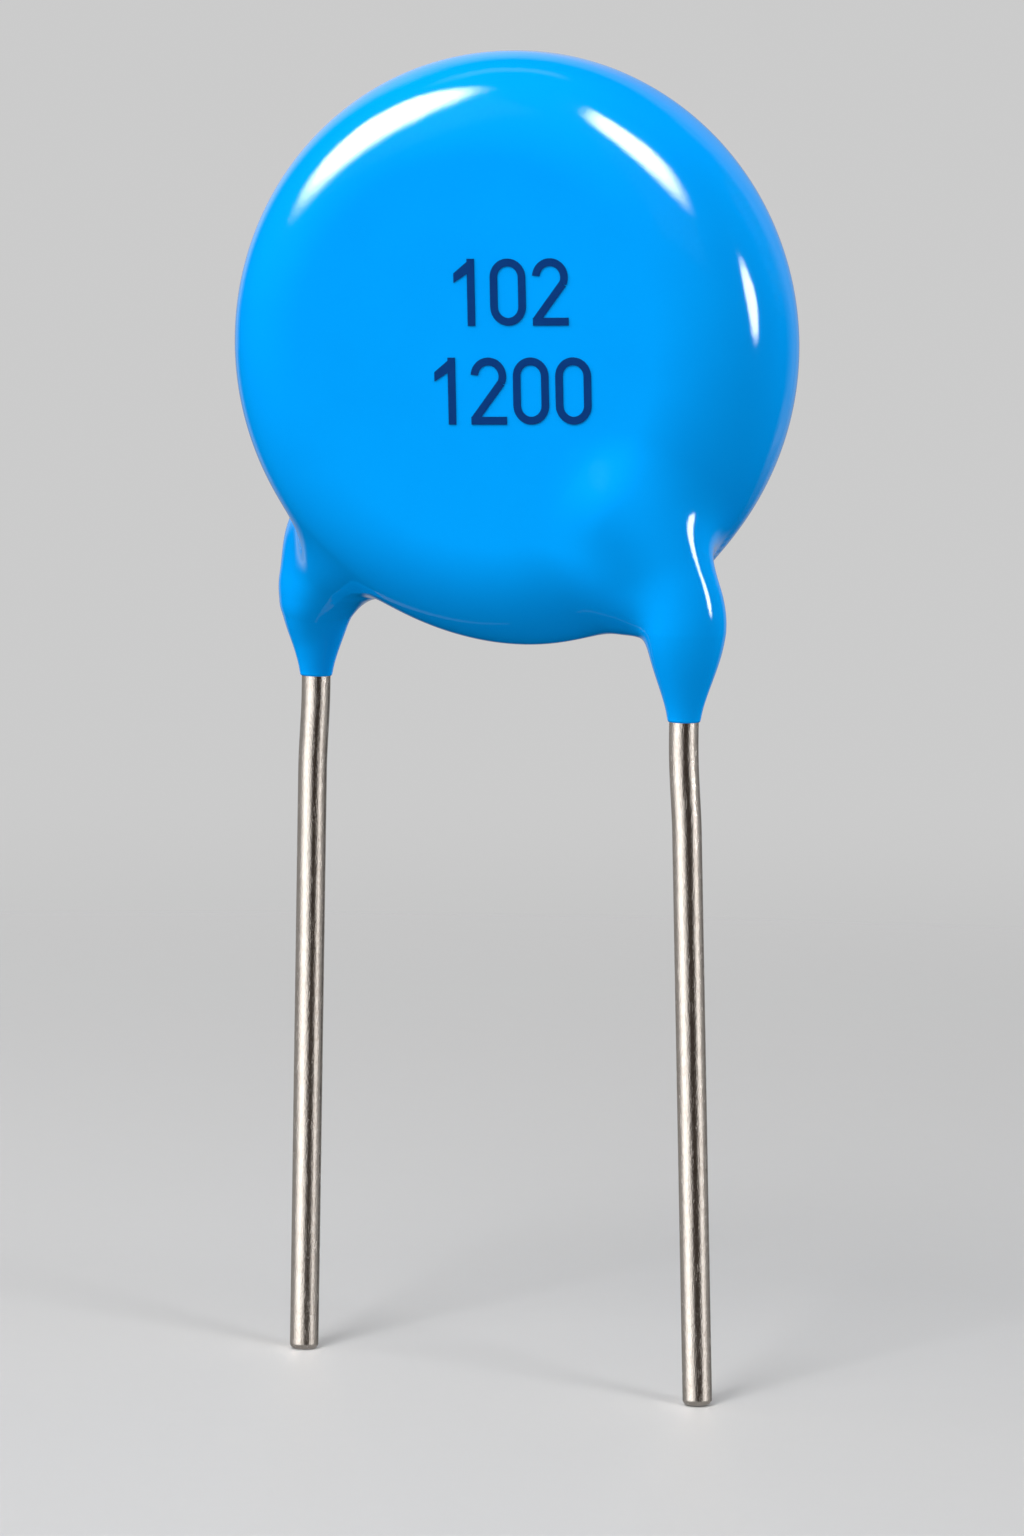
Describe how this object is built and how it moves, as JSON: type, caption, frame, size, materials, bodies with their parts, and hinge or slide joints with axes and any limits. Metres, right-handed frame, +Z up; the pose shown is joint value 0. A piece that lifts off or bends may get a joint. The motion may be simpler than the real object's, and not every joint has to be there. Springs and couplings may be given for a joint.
{
  "type": "ceramic disc capacitor",
  "caption": "Radial ceramic disc capacitor: a silvered ceramic disc dipped in glossy blue epoxy, with two straight tinned wire leads that spread below it for soldering into a board.",
  "frame": {"origin": "On the plane of the lead tips, straight below the centre of the disc.", "axes": "X runs along the disc's faces towards the front lead, the marked face looks along -Y, and +Z is up from the tips to the disc."},
  "size_m": [0.0158, 0.007, 0.0363],
  "materials": {
    "coating": "glossy",
    "ceramic": "matte",
    "electrode": "satin",
    "solder": "satin",
    "lead": "bright",
    "ink": "satin"
  },
  "bodies": {
    "root": {"epoxy_coating": "coating", "ceramic_disc": "ceramic", "front_electrode": "electrode", "rear_electrode": "electrode", "front_solder": "solder", "rear_solder": "solder", "front_lead": "lead", "rear_lead": "lead", "value_marking": "ink"}
  },
  "joints": []
}
